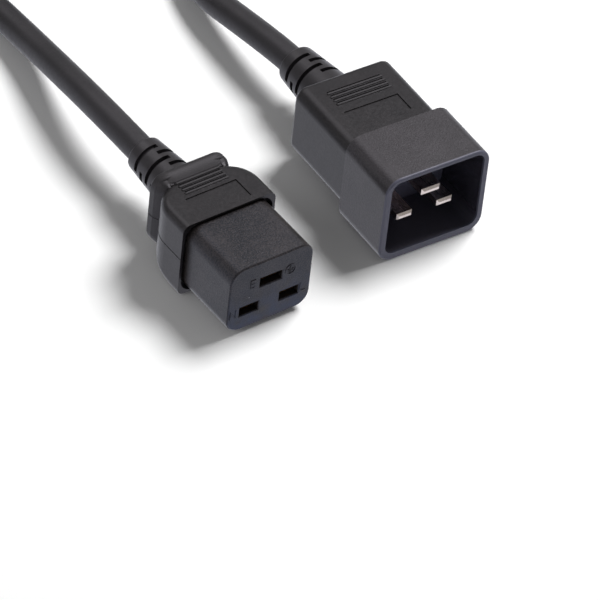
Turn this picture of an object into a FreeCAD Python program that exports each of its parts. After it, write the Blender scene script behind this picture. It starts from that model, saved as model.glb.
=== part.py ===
import FreeCAD, Part
import math
import os

# C19 connector with its cord and the C20 plug on the far end of the cord.
# Millimetres, +Z up. The mating face of the connector looks along -Y, its cord leaves
# along +Y, and the underside of the connector lies on z = 0.
V = FreeCAD.Vector
PAST = 1.0                   # how far a cutting solid runs past the face that it opens
SAME = 0.01                  # two places closer than this are the same

# shared interface, the same for both ends
LINE_SPACING = 13.0          # line to neutral
EARTH_OFFSET = 8.0           # earth above the line through line and neutral
PIN_W, EARTH_PIN_W, PIN_T = 5.0, 6.0, 2.0

# cord, its three cores and their bare strands
CORD_D = 8.2
CORE_D = 2.9
STRAND_D = 1.6
CORE_PITCH_R = 1.75          # core centres from the cord's centre
CORE_ANGLES = {"line": -30.0, "neutral": 210.0, "earth": 90.0}
CORE_STRAIGHT = 0.3          # straight share of a core's run at each of its ends
STRAND_BARE = 2.0            # strands between a barrel and the end of the core
BEND_SHARE = 0.45            # part of the shorter run given to each bend

# connector insert: y runs back from the mating face, z from the centre of the nose
NOSE_W, NOSE_H, NOSE_R = 27.0, 21.9, 4.5
NOSE_LEN = 20.5              # nose that stands out of the overmould
NOSE_EDGE = 0.4
PIN_ROW_Z = -4.5
SLOT_SIDE_CLEAR, SLOT_FACE_CLEAR = 0.6, 0.5
SLOT_EDGE = 0.25
FACE_T = 2.4                 # wall between the mating face and the contacts
FLANGE_RIM = 0.5             # flange past the nose, each side
FLANGE_BACK, FLANGE_T = 3.5, 3.0
CAP_T = 2.0

# connector contacts: a box with two leaves, a neck and a crimp barrel
CONTACT_WALL = 0.4
CONTACT_SIDE = 0.35          # box past the slot, each side
CONTACT_LEN, CONTACT_H = 14.0, 3.8
LEAF_T, LEAF_GAP = 0.35, 1.9
LEAF_INSET, LEAF_SIDE = 1.0, 0.3
LEAF_FOOT = 0.05             # leaf ends sunk into the wall
BRIDGE_T = 1.0
NECK_W, NECK_T = 2.4, 0.8
BARREL_OD = 2.9
BARREL_LEN, BARREL_PAST = 7.0, 1.0
STRAND_START = 1.5           # closed end of the barrel

# connector overmould
BODY_W, BODY_H = 30.2, 24.6
BODY_SQUARE = 7.6            # straight sides before the shoulders
SHOULDER_R, BODY_EDGE_R = 9.6, 2.4
UNDER_SQUARE, UNDER_R = 3.0, 14.0
RIM_GAP, RIM_DEPTH = 0.8, 2.0
NECK_HALF_W, NECK_LOW, NECK_R, NECK_DROP = 9.8, -7.0, 3.0, 0.3
GRIP_HALF_W, GRIP_LOW, GRIP_TOP, GRIP_R = 12.0, -9.5, 13.5, 4.2
GRIP_BEHIND, GRIP_T, GRIP_EDGE = 0.3, 3.2, 0.8
RAMP_LEN, RAMP_SPREAD = 1.6, 1.5
CORD_AXIS_Z = 1.8
RELIEF_LEN = 19.2
RELIEF_ROOT_R, RELIEF_END_R, RELIEF_EDGE = 7.1, 5.4, 0.5
CORD_SEAT_IN = 1.5           # sheath ends this far before the back of the grip
PANEL_W, PANEL_FROM_FRONT, PANEL_L, PANEL_DEEP = 16.6, 2.0, 7.3, 0.3
RIB_L, RIB_FROM_FRONT, RIB_PITCH = 13.5, 11.1, 1.5

# ribs on both mouldings, each with a fine groove behind it
RIB_N = 4
RIB_R, RIB_PROUD = 0.5, 0.35
RIB_GROOVE_W, RIB_GROOVE_DEEP = 0.35, 0.3

# slots of both strain reliefs
RING_N, RING_PITCH, RING_FROM_END = 4, 2.9, 4.3
RING_W, RING_SPAN, RING_TURN = 1.4, 108.0, 45.0
RING_SKIN = 0.6              # moulding left over the cord under a slot
RELIEF_SUNK = 1.0            # relief root inside its body

# plug on the far end: y runs back from the rim of its shroud
SHROUD_W, SHROUD_H, SHROUD_R = 33.6, 29.0, 4.8
SHROUD_WALL, SHROUD_LEN, CAVITY_DEEP = 1.8, 20.4, 18.0
CAVITY_R, CAVITY_Z, RIM_EDGE = 3.0, 0.6, 0.6
PLUG_PIN_ROW_Z = -4.1
PIN_RECESS, EARTH_PIN_RECESS = 4.0, 2.3
PIN_TIP = 0.6
PIN_BEHIND = 3.2             # pin past the back of the shroud
PLUG_BASE_W, PLUG_BASE_H, PLUG_BASE_LEN, PLUG_BASE_R = 27.0, 17.6, 4.2, 2.5
BASE_SUNK = 0.5
PLUG_W, PLUG_H, PLUG_R, PLUG_Z = 30.8, 22.2, 3.6, -0.3
PLUG_LEN, PLUG_EDGE = 28.0, 1.5
PLUG_CORD_Z = -1.3
PLUG_RELIEF_LEN = 20.8
PLUG_RELIEF_ROOT_R, PLUG_RELIEF_END_R = 8.1, 5.8
PLUG_LEAN, PLUG_DROOP = 1.6, 1.5     # the cord has bent the relief a little, to -X and down
PLUG_SEAT_IN = 2.0
PLUG_BARREL_LAP, PLUG_BARREL_PAST = 0.4, 4.6
PLUG_PANEL_W, PLUG_PANEL_FROM_FRONT, PLUG_PANEL_L = 17.5, 6.5, 7.0
PLUG_RIB_L, PLUG_RIB_FROM_FRONT, PLUG_RIB_PITCH = 17.2, 16.9, 1.62
PLUG_YAW = -2.8
PLUG_X, PLUG_Y = 56.4, -27.2

# where the parts of the connector end, from its own sizes
FLANGE_START = NOSE_LEN + FLANGE_BACK
INSERT_END = FLANGE_START + FLANGE_T
BARREL_END = INSERT_END + BARREL_PAST
BARREL_START = BARREL_END - BARREL_LEN
CONTACT_END = FACE_T + CONTACT_LEN
BODY_SQUARE_END = NOSE_LEN + BODY_SQUARE
SHOULDER_END = BODY_SQUARE_END + SHOULDER_R
GRIP_FRONT = SHOULDER_END + GRIP_BEHIND
GRIP_BACK = GRIP_FRONT + GRIP_T
RELIEF_END = GRIP_BACK + RELIEF_LEN
CORD_SEAT = GRIP_BACK - CORD_SEAT_IN
BODY_TOP = BODY_H / 2

# and those of the plug
PIN_END = SHROUD_LEN + PIN_BEHIND
PLUG_BASE_END = SHROUD_LEN + PLUG_BASE_LEN
PLUG_BARREL_START = PIN_END - PLUG_BARREL_LAP
PLUG_BARREL_END = PLUG_BASE_END + PLUG_BARREL_PAST
PLUG_BACK = SHROUD_LEN + PLUG_LEN
PLUG_RELIEF_END = PLUG_BACK + PLUG_RELIEF_LEN
PLUG_CORD_SEAT = PLUG_BACK - PLUG_SEAT_IN
PLUG_TOP = PLUG_Z + PLUG_H / 2

# where things stand
Y_SHIFT = -RELIEF_END / 2
NOSE_Z = BODY_H / 2
PLUG_FLOOR_Z = SHROUD_H / 2

# cord route outside the mouldings, and the coil
COIL_X, COIL_Y = 34.0, 180.0
COIL_PITCH = 8.2
COIL_LAYER_TURNS = 2.75
COIL_OUT_R = 54.0
COIL_LIFT = 1.4
COIL_EDGE_R = 3.5
TIE_T, TIE_SPAN, TIE_AT = 1.2, 16.0, 90.0
COIL_LOW_Z = COIL_LIFT + CORD_D / 2
COIL_HIGH_Z = COIL_LOW_Z + COIL_PITCH
CORD_FREE, PLUG_CORD_FREE = 25.8, 20.0    # the cord goes straight on this far past each relief
CONNECTOR_ROUTE = [(5.8, 100.0, 4.1), (4.5, 125.0, 4.1), (-20.0, 153.0, 4.1), (-20.0, 180.0, 5.4)]
PLUG_ROUTE = [(59.0, 97.0, 4.1), (88.0, 140.0, 5.0), (88.0, 180.0, 13.6)]


def bar(width, height, radius, y0, y1, x=0.0, z=0.0):
    """Rounded rectangular bar along Y."""
    w, h = width / 2, height / 2
    if radius <= 0:
        return Part.makeBox(width, y1 - y0, height, V(x - w, y0, z - h))
    c = radius * (1 - math.cos(math.pi / 4))
    edges = []
    for sx, sz, flip in ((1, 1, False), (-1, 1, True), (-1, -1, False), (1, -1, True)):
        on_side = V(x + sx * w, y0, z + sz * (h - radius))
        on_top = V(x + sx * (w - radius), y0, z + sz * h)
        mid = V(x + sx * (w - c), y0, z + sz * (h - c))
        ends = (on_top, on_side) if flip else (on_side, on_top)
        edges.append((ends[0], mid, ends[1]))
    wire = []
    for i, (a, m, b) in enumerate(edges):
        wire.append(Part.Arc(a, m, b).toShape())
        wire.append(Part.makeLine(b, edges[(i + 1) % 4][0]))
    face = Part.Face(Part.Wire(wire))
    return face.extrude(V(0, y1 - y0, 0))


def rod(diameter, y0, y1, x=0.0, z=0.0):
    return Part.makeCylinder(diameter / 2, y1 - y0, V(x, y0, z), V(0, 1, 0))


def profile(points, half_w, x=0.0):
    """Solid of a closed (y, z) outline, half_w to each side of x."""
    wire = Part.makePolygon([V(x - half_w, y, z) for y, z in points + points[:1]])
    return Part.Face(wire).extrude(V(2 * half_w, 0, 0))


def edges_at(shape, y):
    """Edges that lie in the plane of this y."""
    return [e for e in shape.Edges if all(abs(v.Y - y) < SAME for v in e.Vertexes)
            and abs(e.CenterOfMass.y - y) < SAME]


def tube(points, diameter):
    """Straight runs joined by tangent arcs, swept with a round section."""
    pts = [V(*p) for p in points]
    edges, start, radii = [], pts[0], []
    for i in range(1, len(pts) - 1):
        a, b = pts[i] - pts[i - 1], pts[i + 1] - pts[i]
        half = a.getAngle(b) / 2
        cut = BEND_SHARE * min(a.Length, b.Length)
        radii.append(cut / math.tan(half))
        ua, ub = V(a).normalize(), V(b).normalize()
        p, q = pts[i] - ua * cut, pts[i] + ub * cut
        inward = (ub - ua).normalize()
        centre = pts[i] + inward * (radii[-1] / math.cos(half))
        mid = centre - inward * radii[-1]
        edges += [Part.makeLine(start, p), Part.Arc(p, mid, q).toShape()]
        start = q
    edges.append(Part.makeLine(start, pts[-1]))
    path = Part.Wire(edges)
    ring = Part.Wire(Part.makeCircle(diameter / 2, pts[0], pts[1] - pts[0]))
    solid = Part.Solid(path.makePipeShell([ring], True, False))
    if solid.Volume < 0:
        solid.reverse()
    section = math.pi * diameter ** 2 / 4
    print("tube d", diameter, "length", round(path.Length, 1), "radii", [round(r, 1) for r in radii],
          "volume/section*length", round(solid.Volume / (section * path.Length), 4))
    return solid


def relief(y0, y1, root_r, end_r, z):
    """Strain relief: a slotted cone, alternate rings of slots turned by a quarter turn."""
    root = y0 - RELIEF_SUNK
    cone = Part.makeCone(root_r, end_r, y1 - root, V(0, root, z), V(0, 1, 0))
    cone = cone.makeFillet(RELIEF_EDGE, edges_at(cone, y1))
    for i in range(RING_N):
        y = y1 - RING_FROM_END - i * RING_PITCH - RING_W / 2
        first = -RING_TURN if i % 2 == 0 else RING_TURN
        for centre in (first, first + 180.0):
            outer = Part.makeCylinder(root_r + PAST, RING_W, V(0, 0, 0), V(0, 0, 1), RING_SPAN)
            inner = Part.makeCylinder(CORD_D / 2 + RING_SKIN, RING_W + 2 * PAST, V(0, 0, -PAST))
            slot = outer.cut(inner)
            slot.rotate(V(0, 0, 0), V(0, 0, 1), -RING_SPAN / 2)
            slot.rotate(V(0, 0, 0), V(1, 0, 0), -90)
            slot.rotate(V(0, 0, 0), V(0, 1, 0), centre - 90)
            slot.translate(V(0, y, z))
            cone = cone.cut(slot)
    return cone


def ribs(length, first, pitch, top):
    """Raised ribs across the top, and the fine grooves behind them."""
    raised, grooves = [], []
    for i in range(RIB_N):
        y, z = first + i * pitch, top + RIB_PROUD - RIB_R
        raised.append(Part.makeCylinder(RIB_R, length, V(-length / 2, y, z), V(1, 0, 0)))
        raised += [Part.makeSphere(RIB_R, V(side * length / 2, y, z)) for side in (1, -1)]
        grooves.append(Part.makeBox(length, RIB_GROOVE_W, RIB_GROOVE_DEEP + PAST,
                                    V(-length / 2, y + RIB_R, top - RIB_GROOVE_DEEP)))
    return raised, grooves


def panel(width, front, length, top):
    """Shallow label recess."""
    return Part.makeBox(width, length, PANEL_DEEP + PAST, V(-width / 2, front, top - PANEL_DEEP))


def core_runs(seat, places, axis_z, start_y):
    """Insulated cores from the end of the sheath to each terminal."""
    made = {}
    for name, (x, z) in places.items():
        angle = math.radians(CORE_ANGLES[name])
        cx, cz = CORE_PITCH_R * math.cos(angle), axis_z + CORE_PITCH_R * math.sin(angle)
        straight = CORE_STRAIGHT * (seat - start_y)
        pts = [(x, start_y, z), (x, start_y + straight, z), (cx, seat - straight, cz), (cx, seat, cz)]
        made[name] = tube(pts, CORE_D)
    return made


def terminal_places(row_z):
    half = LINE_SPACING / 2
    return {"line": (half, row_z), "neutral": (-half, row_z), "earth": (0.0, row_z + EARTH_OFFSET)}


def pin_width(name):
    return EARTH_PIN_W if name == "earth" else PIN_W


def contact(x, z, slot_w, pin_w):
    """Stamped box with two inward leaves, a neck and a crimp barrel."""
    box_w = slot_w + 2 * CONTACT_SIDE
    box = bar(box_w, CONTACT_H, 0, FACE_T, CONTACT_END, x, z)
    box = box.cut(bar(box_w - 2 * CONTACT_WALL, CONTACT_H - 2 * CONTACT_WALL, 0,
                      FACE_T - PAST, CONTACT_END + PAST, x, z))
    near, far = CONTACT_H / 2 - CONTACT_WALL + LEAF_FOOT, LEAF_GAP / 2
    y0, y2 = FACE_T + LEAF_INSET, CONTACT_END - LEAF_INSET
    y1 = (y0 + y2) / 2
    for side in (1, -1):
        outline = [(y0, near), (y1, far + LEAF_T), (y2, near),
                   (y2, near - LEAF_T), (y1, far), (y0, near - LEAF_T)]
        box = box.fuse(profile([(y, z + side * h) for y, h in outline], pin_w / 2 - LEAF_SIDE, x))
    bridge = bar(box_w, CONTACT_H, 0, CONTACT_END - BRIDGE_T, CONTACT_END, x, z)
    neck = bar(NECK_W, NECK_T, 0, CONTACT_END - BRIDGE_T, BARREL_START + STRAND_START, x, z)
    barrel = rod(BARREL_OD, BARREL_START, BARREL_END, x, z)
    bore = rod(STRAND_D, BARREL_START + STRAND_START, BARREL_END + PAST, x, z)
    return box.fuse([bridge, neck, barrel]).cut(bore).removeSplitter()


def connector_inside():
    """Insert, its cap, the three contacts, and the strands and cores behind them."""
    made = {}
    places = terminal_places(PIN_ROW_Z)
    insert = bar(NOSE_W, NOSE_H, NOSE_R, 0, INSERT_END)
    insert = insert.makeChamfer(NOSE_EDGE, edges_at(insert, 0))
    flange_w, flange_h = NOSE_W + 2 * FLANGE_RIM, NOSE_H + 2 * FLANGE_RIM
    insert = insert.fuse(bar(flange_w, flange_h, NOSE_R, FLANGE_START, INSERT_END))
    cap = bar(flange_w, flange_h, NOSE_R, INSERT_END, INSERT_END + CAP_T)
    for name, (x, z) in places.items():
        slot_w, slot_t = pin_width(name) + 2 * SLOT_SIDE_CLEAR, PIN_T + 2 * SLOT_FACE_CLEAR
        pocket_w = slot_w + 2 * CONTACT_SIDE
        slot = bar(slot_w, slot_t, 0, 0, FACE_T + PAST, x, z)
        lead_in = bar(slot_w + 2 * SLOT_EDGE, slot_t + 2 * SLOT_EDGE, 0, 0, SLOT_EDGE, x, z)
        lead_in = lead_in.makeChamfer(SLOT_EDGE - SAME, edges_at(lead_in, SLOT_EDGE))
        insert = insert.cut([slot, lead_in, bar(pocket_w, CONTACT_H, 0, FACE_T, INSERT_END + PAST, x, z)])
        made["contact_" + name] = contact(x, z, slot_w, pin_width(name))
        made["strands_" + name] = rod(STRAND_D, BARREL_START + STRAND_START, BARREL_END + STRAND_BARE, x, z)
        cap = cap.cut([rod(BARREL_OD, INSERT_END - PAST, BARREL_END, x, z),
                       rod(STRAND_D, BARREL_END - PAST, INSERT_END + CAP_T + PAST, x, z)])
    made["connector_insert"] = insert
    made["insert_cap"] = cap
    for name, core in core_runs(CORD_SEAT, places, CORD_AXIS_Z, BARREL_END + STRAND_BARE).items():
        made["core_" + name] = core
    return made


def body_block():
    """Square front with rounded shoulders and an underside that rises behind."""
    w, r = BODY_W / 2, SHOULDER_R
    s = r * math.sin(math.pi / 4)
    front, square = NOSE_LEN, BODY_SQUARE_END
    plan = [Part.makeLine(V(-w, front, 0), V(w, front, 0)),
            Part.makeLine(V(w, front, 0), V(w, square, 0)),
            Part.Arc(V(w, square, 0), V(w - r + s, square + s, 0), V(w - r, SHOULDER_END, 0)).toShape(),
            Part.makeLine(V(w - r, SHOULDER_END, 0), V(r - w, SHOULDER_END, 0)),
            Part.Arc(V(r - w, SHOULDER_END, 0), V(r - w - s, square + s, 0), V(-w, square, 0)).toShape(),
            Part.makeLine(V(-w, square, 0), V(-w, front, 0))]
    body = Part.Face(Part.Wire(plan)).extrude(V(0, 0, BODY_H))
    body.translate(V(0, 0, -BODY_TOP))
    rise_start = front + UNDER_SQUARE
    ring = Part.makeCylinder(UNDER_R, BODY_W + 2 * PAST, V(-w - PAST, rise_start, UNDER_R - BODY_TOP),
                             V(1, 0, 0))
    behind = Part.makeBox(BODY_W + 2 * PAST, BODY_W, UNDER_R + PAST,
                          V(-w - PAST, rise_start, -BODY_TOP - PAST))
    body = body.cut(behind.cut(ring))
    rounded = []
    for edge in body.Edges:
        middle, box = edge.CenterOfMass, edge.BoundBox
        on_top = abs(middle.z - BODY_TOP) < SAME
        under_side = box.ZMax < 0 and box.XLength < BODY_W / 2
        if middle.y > front + SAME and (on_top or under_side):
            rounded.append(edge)
    return body.makeFillet(BODY_EDGE_R, rounded)


def grip_ramp():
    """Wedge that carries the top of the body up to the top of the grip."""
    low, high = BODY_TOP - NECK_DROP, GRIP_TOP
    half = GRIP_HALF_W - GRIP_R
    start, crest, back = GRIP_FRONT - RAMP_LEN, GRIP_FRONT + GRIP_EDGE, GRIP_BACK - GRIP_EDGE
    foot = [V(-half - RAMP_SPREAD, start, low), V(half + RAMP_SPREAD, start, low),
            V(half + RAMP_SPREAD, back, low), V(-half - RAMP_SPREAD, back, low)]
    head = [V(-half, crest, high), V(half, crest, high), V(half, back, high), V(-half, back, high)]
    return Part.makeLoft([Part.makePolygon(ring + ring[:1]) for ring in (foot, head)], True, True)


def connector_overmould(inside):
    """Body, finger grip with its ramp, strain relief, and the room for what is inside."""
    neck_top = BODY_TOP - NECK_DROP
    neck = bar(2 * NECK_HALF_W, neck_top - NECK_LOW, NECK_R, BODY_SQUARE_END, GRIP_BACK - GRIP_EDGE,
               0, (neck_top + NECK_LOW) / 2)
    grip = bar(2 * GRIP_HALF_W, GRIP_TOP - GRIP_LOW, GRIP_R, GRIP_FRONT, GRIP_BACK,
               0, (GRIP_TOP + GRIP_LOW) / 2)
    grip = grip.makeFillet(GRIP_EDGE, edges_at(grip, GRIP_FRONT) + edges_at(grip, GRIP_BACK))
    raised, grooves = ribs(RIB_L, NOSE_LEN + RIB_FROM_FRONT, RIB_PITCH, BODY_TOP)
    over = body_block().fuse([neck, grip, grip_ramp()])
    over = over.fuse(relief(GRIP_BACK, RELIEF_END, RELIEF_ROOT_R, RELIEF_END_R, CORD_AXIS_Z))
    over = over.cut(grooves).fuse(raised)
    flange_w, flange_h = NOSE_W + 2 * FLANGE_RIM, NOSE_H + 2 * FLANGE_RIM
    room = [bar(NOSE_W + 2 * RIM_GAP, NOSE_H + 2 * RIM_GAP, NOSE_R, NOSE_LEN - PAST, NOSE_LEN + RIM_DEPTH),
            bar(NOSE_W, NOSE_H, NOSE_R, NOSE_LEN - PAST, INSERT_END),
            bar(flange_w, flange_h, NOSE_R, FLANGE_START, INSERT_END + CAP_T),
            rod(CORD_D, CORD_SEAT, RELIEF_END + PAST, 0, CORD_AXIS_Z),
            panel(PANEL_W, NOSE_LEN + PANEL_FROM_FRONT, PANEL_L, BODY_TOP)]
    room += [solid for name, solid in inside.items() if name.startswith(("core", "strands"))]
    return over.cut(room).removeSplitter()


def plug_inside_and_shroud():
    """Shroud with its base, three pins, and the strands and cores behind them."""
    made = {}
    places = terminal_places(PLUG_PIN_ROW_Z)
    shroud = bar(SHROUD_W, SHROUD_H, SHROUD_R, 0, SHROUD_LEN)
    shroud = shroud.makeFillet(RIM_EDGE, edges_at(shroud, 0))
    cavity_w, cavity_h = SHROUD_W - 2 * SHROUD_WALL, SHROUD_H - 2 * SHROUD_WALL
    shroud = shroud.cut(bar(cavity_w, cavity_h, CAVITY_R, -PAST, CAVITY_DEEP, 0, CAVITY_Z))
    shroud = shroud.fuse(plug_base())
    for name, (x, z) in places.items():
        width = pin_width(name)
        recess = EARTH_PIN_RECESS if name == "earth" else PIN_RECESS
        blade = bar(width, PIN_T, 0, recess, PIN_END, x, z)
        blade = blade.makeChamfer(PIN_TIP, edges_at(blade, recess))
        barrel = rod(BARREL_OD, PLUG_BARREL_START, PLUG_BARREL_END, x, z)
        bore = rod(STRAND_D, PIN_END + STRAND_START, PLUG_BARREL_END + PAST, x, z)
        shroud = shroud.cut([bar(width, PIN_T, 0, CAVITY_DEEP - PAST, PIN_END, x, z),
                             rod(BARREL_OD, PLUG_BARREL_START, PLUG_BASE_END + PAST, x, z)])
        made["plug_pin_" + name] = blade.fuse(barrel).cut(bore).removeSplitter()
        made["plug_strands_" + name] = rod(STRAND_D, PIN_END + STRAND_START,
                                           PLUG_BARREL_END + STRAND_BARE, x, z)
    made["plug_shroud"] = shroud.removeSplitter()
    for name, core in core_runs(PLUG_CORD_SEAT, places, PLUG_CORD_Z, PLUG_BARREL_END + STRAND_BARE).items():
        made["plug_core_" + name] = core
    return made


def plug_base():
    return bar(PLUG_BASE_W, PLUG_BASE_H, PLUG_BASE_R, SHROUD_LEN - BASE_SUNK, PLUG_BASE_END, 0, PLUG_Z)


def lean(solid):
    """Turn the plug's strain relief, or what lies in it, about the middle of its root."""
    solid.rotate(V(0, PLUG_BACK, PLUG_CORD_Z), V(0, 0, 1), PLUG_LEAN)
    solid.rotate(V(0, PLUG_BACK, PLUG_CORD_Z), V(1, 0, 0), -PLUG_DROOP)
    return solid


def plug_overmould(inside):
    """Rear body of the plug with its strain relief."""
    rear = bar(PLUG_W, PLUG_H, PLUG_R, SHROUD_LEN, PLUG_BACK, 0, PLUG_Z)
    rear = rear.makeFillet(PLUG_EDGE, edges_at(rear, PLUG_BACK))
    raised, grooves = ribs(PLUG_RIB_L, SHROUD_LEN + PLUG_RIB_FROM_FRONT, PLUG_RIB_PITCH, PLUG_TOP)
    tail = relief(PLUG_BACK, PLUG_RELIEF_END, PLUG_RELIEF_ROOT_R, PLUG_RELIEF_END_R, PLUG_CORD_Z)
    rear = rear.fuse(lean(tail))
    rear = rear.cut(grooves).fuse(raised)
    room = [plug_base(), lean(rod(CORD_D, PLUG_CORD_SEAT, PLUG_RELIEF_END + PAST, 0, PLUG_CORD_Z)),
            panel(PLUG_PANEL_W, SHROUD_LEN + PLUG_PANEL_FROM_FRONT, PLUG_PANEL_L, PLUG_TOP)]
    room += [rod(BARREL_OD, PLUG_BASE_END - PAST, PLUG_BARREL_END, x, z)
             for x, z in terminal_places(PLUG_PIN_ROW_Z).values()]
    room += [solid for name, solid in inside.items() if "core" in name or "strands" in name]
    return rear.cut(room).removeSplitter()


def coil_section(grow):
    """Cross-section of the whole coil, with its two layers, on the +X side."""
    inner = COIL_OUT_R - COIL_LAYER_TURNS * COIL_PITCH - CORD_D / 2
    outer, top = COIL_OUT_R + CORD_D / 2, COIL_HIGH_Z + CORD_D / 2
    section = bar(outer - inner + 2 * grow, top - COIL_LIFT + 2 * grow, COIL_EDGE_R + grow, 0, 1,
                  (outer + inner) / 2, (top + COIL_LIFT) / 2)
    return [f for f in section.Faces if abs(f.CenterOfMass.y) < SAME][0]


def coil_and_tie():
    coil = coil_section(0).revolve(V(0, 0, 0), V(0, 0, 1), 360)
    tie = coil_section(TIE_T).revolve(V(0, 0, 0), V(0, 0, 1), TIE_SPAN)
    tie.rotate(V(0, 0, 0), V(0, 0, 1), TIE_AT - TIE_SPAN / 2)
    tie = tie.cut(coil)
    for solid in (coil, tie):
        solid.translate(V(COIL_X, COIL_Y, 0))
    return coil, tie


def cord_run(axis, route, around):
    """Run from the end of the sheath inside a moulding out to the coil."""
    return tube([v.Point for v in axis.Vertexes] + route, CORD_D).cut(around)


def write(name, solid):
    if solid.ShapeType != "Solid":
        solid = max(solid.Solids, key=lambda one: one.Volume)
    b = solid.BoundBox
    print(name, "solid" if solid.isValid() else "INVALID", round(solid.Volume, 1),
          [round(n, 2) for n in (b.XMin, b.YMin, b.ZMin, b.XMax, b.YMax, b.ZMax)])
    solid.exportStep("parts/%s.step" % name)


def stand_connector(solid):
    solid.translate(V(0, Y_SHIFT, NOSE_Z))
    return solid


def stand_plug(solid):
    solid.rotate(V(0, 0, 0), V(0, 0, 1), PLUG_YAW)
    solid.translate(V(PLUG_X, PLUG_Y, PLUG_FLOOR_Z))
    return solid


connector = connector_inside()
connector["connector_overmould"] = connector_overmould(connector)
plug = plug_inside_and_shroud()
plug["plug_overmould"] = plug_overmould(plug)
solids = {name: stand_connector(solid) for name, solid in connector.items()}
solids.update({name: stand_plug(solid) for name, solid in plug.items()})

coil, solids["coil_tie"] = coil_and_tie()
solids["cord_coil"] = coil
axis = Part.makeLine(V(0, CORD_SEAT, CORD_AXIS_Z), V(0, RELIEF_END + CORD_FREE, CORD_AXIS_Z))
solids["cord_connector_run"] = cord_run(stand_connector(axis), CONNECTOR_ROUTE, [coil])
axis = Part.makeLine(V(0, PLUG_CORD_SEAT, PLUG_CORD_Z), V(0, PLUG_RELIEF_END + PLUG_CORD_FREE, PLUG_CORD_Z))
plug_cores = [solid for name, solid in plug.items() if "core" in name]
solids["cord_plug_run"] = cord_run(stand_plug(lean(axis)), PLUG_ROUTE, [coil] + plug_cores)

os.makedirs("parts", exist_ok=True)
for name, solid in solids.items():
    write(name, solid)
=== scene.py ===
import bpy
import math
from mathutils import Matrix, Vector


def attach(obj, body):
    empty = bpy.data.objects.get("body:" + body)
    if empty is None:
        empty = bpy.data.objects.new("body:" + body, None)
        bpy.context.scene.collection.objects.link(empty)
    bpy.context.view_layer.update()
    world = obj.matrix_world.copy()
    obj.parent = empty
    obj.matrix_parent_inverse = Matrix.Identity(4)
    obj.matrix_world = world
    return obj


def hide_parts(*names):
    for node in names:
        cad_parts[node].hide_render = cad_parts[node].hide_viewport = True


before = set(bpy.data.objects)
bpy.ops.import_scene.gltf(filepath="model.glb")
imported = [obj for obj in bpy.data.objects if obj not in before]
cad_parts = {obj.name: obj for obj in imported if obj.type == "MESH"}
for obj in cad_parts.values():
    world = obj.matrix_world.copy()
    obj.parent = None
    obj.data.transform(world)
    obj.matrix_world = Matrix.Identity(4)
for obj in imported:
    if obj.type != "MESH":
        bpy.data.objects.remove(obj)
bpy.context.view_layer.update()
print("frame loaded:", len(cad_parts), "nodes")

millimetre = 0.001
ways = ("line", "neutral", "earth")
noiseSpan = {"From Min": 0.3, "From Max": 0.7}    # most of a noise texture's values lie in it
halfWave = 160.0    # a wave texture's scale, times the width of half a wave in mm


def linearColour(hexText):
    # sRGB hex to the linear colour that shader sockets take
    channels = [int(hexText[i:i + 2], 16) / 255 for i in (1, 3, 5)]
    linear = [c / 12.92 if c <= 0.04045 else ((c + 0.055) / 1.055) ** 2.4 for c in channels]
    return (*linear, 1.0)


def addNode(tree, kind, sockets=None, **settings):
    # a socket takes a value, a hex colour, an output to link in, or a node whose first output is linked
    node = tree.nodes.new("ShaderNode" + kind)
    for name, value in settings.items():
        setattr(node, name, value)
    for name, value in (sockets or {}).items():
        if isinstance(value, bpy.types.Node):
            value = value.outputs[0]
        if isinstance(value, bpy.types.NodeSocket):
            tree.links.new(value, node.inputs[name])
        elif isinstance(value, str):
            node.inputs[name].default_value = linearColour(value)
        else:
            node.inputs[name].default_value = value
    return node


def blankMaterial(name):
    material = bpy.data.materials.new(name)
    material.use_nodes = True
    material.node_tree.nodes.clear()
    return material, material.node_tree


def dress(nodeNames, material):
    for name in nodeNames:
        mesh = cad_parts[name].data
        mesh.materials.clear()
        mesh.materials.append(material)
    print("dressed", ", ".join(nodeNames), "with", material.name)


def addPiece(name, data, material):
    piece = bpy.data.objects.new(name, data)
    bpy.context.scene.collection.objects.link(piece)
    piece.data.materials.append(material)
    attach(piece, "root")
    return piece


# flexible PVC moulded over the insert and the plug: fine matt tool finish
mouldedPvcFinish = {
    "dark": "#121112",
    "light": "#211f20",
    "gloss": "#fbf6ff",      # the skin's shine is a little cooler than its body
    "cloud": 7.0,            # mm, slow change of shade where the melt cooled
    "peel": 0.9,             # mm, orange peel
    "peelRise": 0.010,
    "grain": 0.40,           # mm, drawn coarser than the tool grain, which is too fine to show
    "grainRise": 0.020,
    "grainShade": 1.0,
    "roughness": (0.29, 0.37),
    "specular": 0.37,
    "ior": 1.53,
    "nicks": 0.0,
}

# glass filled nylon of the insert: spark eroded texture with a dry sparkle, a few pale nicks
texturedNylonFinish = {
    "dark": "#141211",
    "light": "#363130",
    "gloss": "#dfe6ff",
    "cloud": 9.0,
    "peel": 0.55,
    "peelRise": 0.020,
    "grain": 0.42,
    "grainRise": 0.045,
    "grainShade": 1.6,
    "roughness": (0.31, 0.40),
    "specular": 0.34,
    "ior": 1.53,
    "nicks": 0.6,
}

# PBT of the plug's shroud: coarser texture and a little paler
texturedPbtFinish = {
    "dark": "#242224",
    "light": "#373437",
    "gloss": "#fbf6ff",
    "cloud": 12.0,
    "peel": 0.6,
    "peelRise": 0.018,
    "grain": 0.42,
    "grainRise": 0.034,
    "grainShade": 1.2,
    "roughness": (0.31, 0.40),
    "specular": 0.42,
    "ior": 1.55,
    "nicks": 0.6,
}

# extruded PVC jacket of the cord: matt skin
extrudedPvcFinish = {
    "dark": "#1f1e20",
    "light": "#2c2a2c",
    "gloss": "#fbf6ff",
    "cloud": 14.0,
    "peel": 1.3,
    "peelRise": 0.012,
    "grain": 0.4,
    "grainRise": 0.016,
    "grainShade": 0.8,
    "roughness": (0.38, 0.48),
    "specular": 0.36,
    "ior": 1.53,
    "nicks": 0.0,
}

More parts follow.
